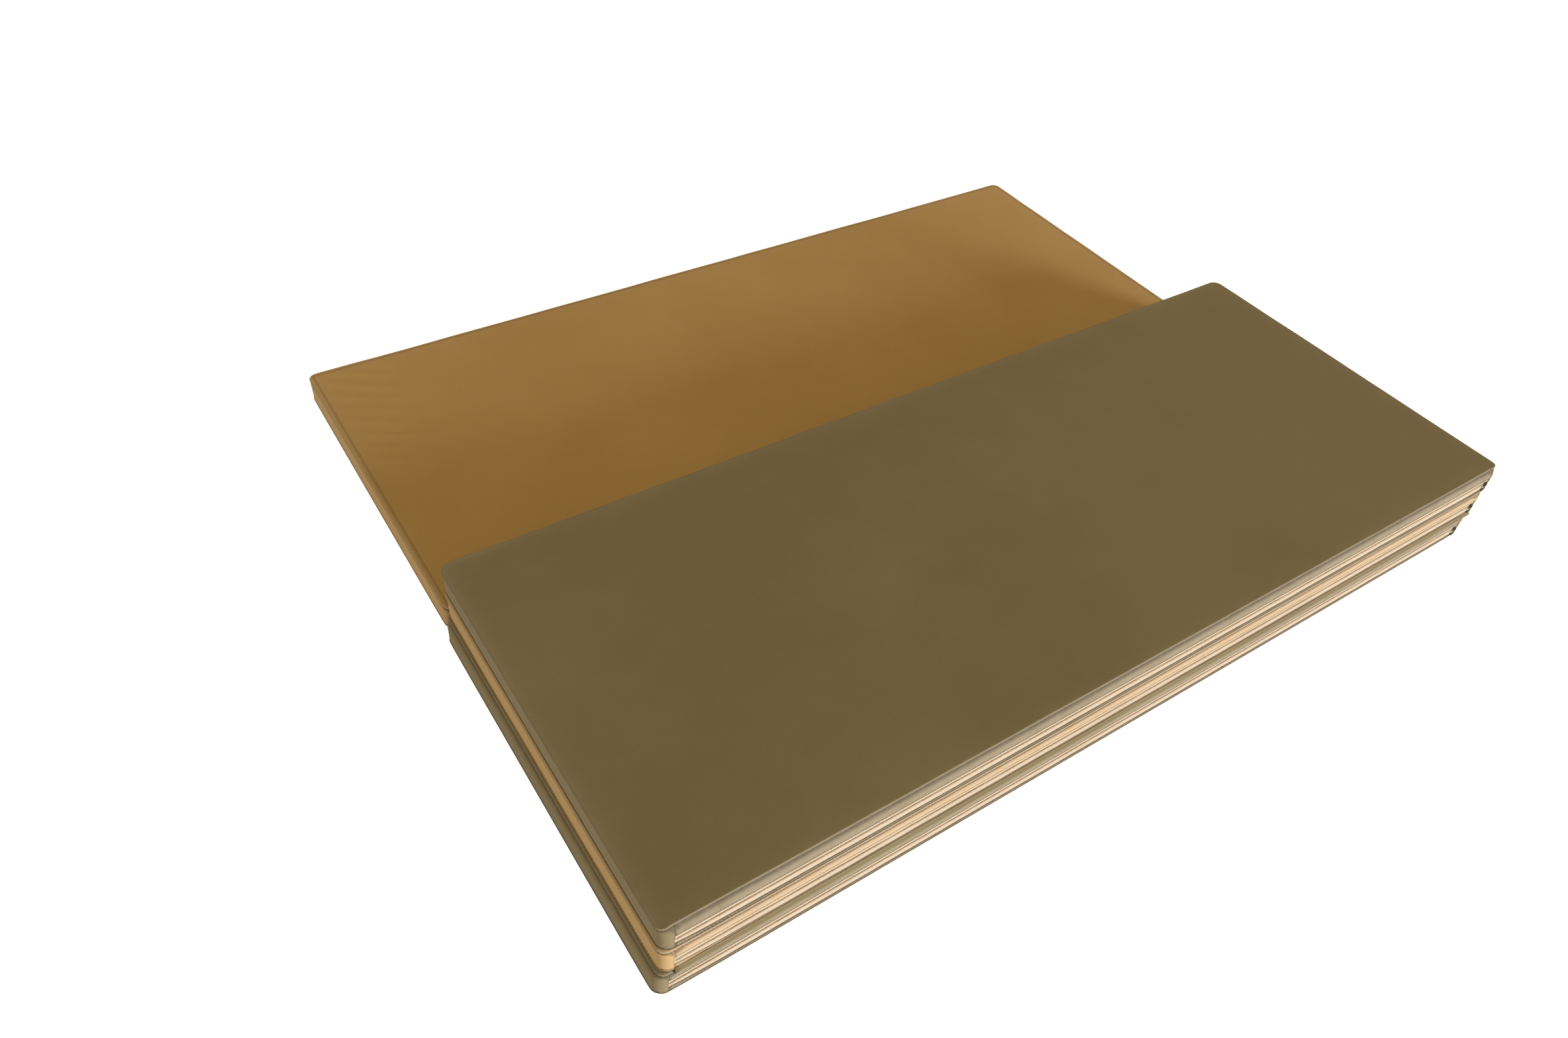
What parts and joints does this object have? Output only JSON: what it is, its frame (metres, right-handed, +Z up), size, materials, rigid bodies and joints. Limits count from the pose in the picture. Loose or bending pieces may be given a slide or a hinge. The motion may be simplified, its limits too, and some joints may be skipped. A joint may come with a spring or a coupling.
{
  "type": "folding spa cover",
  "caption": "Padded spa cover of long foam panels in zipped leatherette covers, joined by fabric hinges and partly folded: a stack in front, a flat panel behind.",
  "frame": {"origin": "on the floor at the middle of the whole cover as it lies, half way between the back of the folded stack and the front of the flat panel", "axes": "+X to the right along the panels' long sides, -Y towards the front of the folded stack, +Z up"},
  "size_m": [1.908, 1.5172, 0.1812],
  "materials": {
    "leatherette_olive": "matte",
    "leatherette_tan": "matte",
    "foam": "matte",
    "moisture_film": "gloss",
    "zip_tape": "matte",
    "zip_chain": "satin",
    "zip_metal": "satin"
  },
  "bodies": {
    "panel_1": {"panel_1_foam_core": "foam", "panel_1_moisture_film": "moisture_film", "panel_1_top_sheet": "leatherette_tan", "panel_1_bottom_sheet": "leatherette_tan", "panel_1_left_end": "leatherette_tan", "panel_1_right_end": "leatherette_tan", "panel_1_plain_side": "leatherette_tan", "panel_1_upper_band": "leatherette_tan", "panel_1_lower_band": "leatherette_tan", "panel_1_zip_tapes": "zip_tape", "panel_1_zip_chain": "zip_chain", "panel_1_zip_stops": "zip_metal"},
    "panel_2": {"panel_2_foam_core": "foam", "panel_2_moisture_film": "moisture_film", "panel_2_top_sheet": "leatherette_olive", "panel_2_bottom_sheet": "leatherette_olive", "panel_2_left_end": "leatherette_olive", "panel_2_right_end": "leatherette_olive", "panel_2_plain_side": "leatherette_olive", "panel_2_upper_band": "leatherette_olive", "panel_2_lower_band": "leatherette_olive", "panel_2_zip_tapes": "zip_tape", "panel_2_zip_chain": "zip_chain", "panel_2_zip_stops": "zip_metal", "hinge_web_1_2": "leatherette_olive", "hinge_web_2_3": "leatherette_olive"},
    "panel_3": {"panel_3_foam_core": "foam", "panel_3_moisture_film": "moisture_film", "panel_3_top_sheet": "leatherette_tan", "panel_3_bottom_sheet": "leatherette_tan", "panel_3_left_end": "leatherette_tan", "panel_3_right_end": "leatherette_tan", "panel_3_plain_side": "leatherette_tan", "panel_3_upper_band": "leatherette_tan", "panel_3_lower_band": "leatherette_tan", "panel_3_zip_tapes": "zip_tape", "panel_3_zip_chain": "zip_chain", "panel_3_zip_stops": "zip_metal", "hinge_web_3_4": "leatherette_olive"},
    "panel_4": {"panel_4_foam_core": "foam", "panel_4_moisture_film": "moisture_film", "panel_4_top_sheet": "leatherette_olive", "panel_4_bottom_sheet": "leatherette_olive", "panel_4_left_end": "leatherette_olive", "panel_4_right_end": "leatherette_olive", "panel_4_plain_side": "leatherette_olive", "panel_4_upper_band": "leatherette_olive", "panel_4_lower_band": "leatherette_olive", "panel_4_zip_tapes": "zip_tape", "panel_4_zip_chain": "zip_chain", "panel_4_zip_stops": "zip_metal"},
    "slider_1": {"panel_1_zip_slider": "zip_metal"},
    "pull_1": {"panel_1_zip_pull": "zip_metal"},
    "slider_2": {"panel_2_zip_slider": "zip_metal"},
    "pull_2": {"panel_2_zip_pull": "zip_metal"},
    "slider_3": {"panel_3_zip_slider": "zip_metal"},
    "pull_3": {"panel_3_zip_pull": "zip_metal"},
    "slider_4": {"panel_4_zip_slider": "zip_metal"},
    "pull_4": {"panel_4_zip_pull": "zip_metal"}
  },
  "joints": [
    {"name": "fold_1_2", "type": "hinge", "parent": "panel_2", "child": "panel_1", "pos_m": [0, 0, -0.0003], "axis": [-1, 0, 0], "range_deg": [0, 180], "deforming": ["hinge_web_1_2"]},
    {"name": "fold_2_3", "type": "hinge", "parent": "panel_2", "child": "panel_3", "pos_m": [0, -0.759, 0.0603], "axis": [1, 0, 0], "range_deg": [0, 180], "deforming": ["hinge_web_2_3"]},
    {"name": "fold_3_4", "type": "hinge", "parent": "panel_3", "child": "panel_4", "pos_m": [0, 0, 0.1209], "axis": [-1, 0, 0], "range_deg": [0, 180], "deforming": ["hinge_web_3_4"]},
    {"name": "zip_1_slide", "type": "slide", "parent": "panel_1", "child": "slider_1", "axis": [-1, 0, 0], "range_m": [0, 1.8434]},
    {"name": "zip_2_slide", "type": "slide", "parent": "panel_2", "child": "slider_2", "axis": [-1, 0, 0], "range_m": [0, 1.8434]},
    {"name": "zip_3_slide", "type": "slide", "parent": "panel_3", "child": "slider_3", "axis": [-1, 0, 0], "range_m": [0, 1.8434]},
    {"name": "zip_4_slide", "type": "slide", "parent": "panel_4", "child": "slider_4", "axis": [-1, 0, 0], "range_m": [0, 1.8434]},
    {"name": "pull_1_swing", "type": "hinge", "parent": "slider_1", "child": "pull_1", "pos_m": [0.9217, 0.7575, 0.024], "axis": [0, 1, 0], "range_deg": [-90, 90]},
    {"name": "pull_2_swing", "type": "hinge", "parent": "slider_2", "child": "pull_2", "pos_m": [0.9137, -0.7575, 0.024], "axis": [0, 1, 0], "range_deg": [-90, 90]},
    {"name": "pull_3_swing", "type": "hinge", "parent": "slider_3", "child": "pull_3", "pos_m": [0.9217, -0.7575, 0.0846], "axis": [0, 1, 0], "range_deg": [-90, 90]},
    {"name": "pull_4_swing", "type": "hinge", "parent": "slider_4", "child": "pull_4", "pos_m": [0.9217, -0.7575, 0.1452], "axis": [0, 1, 0], "range_deg": [-90, 90]}
  ]
}
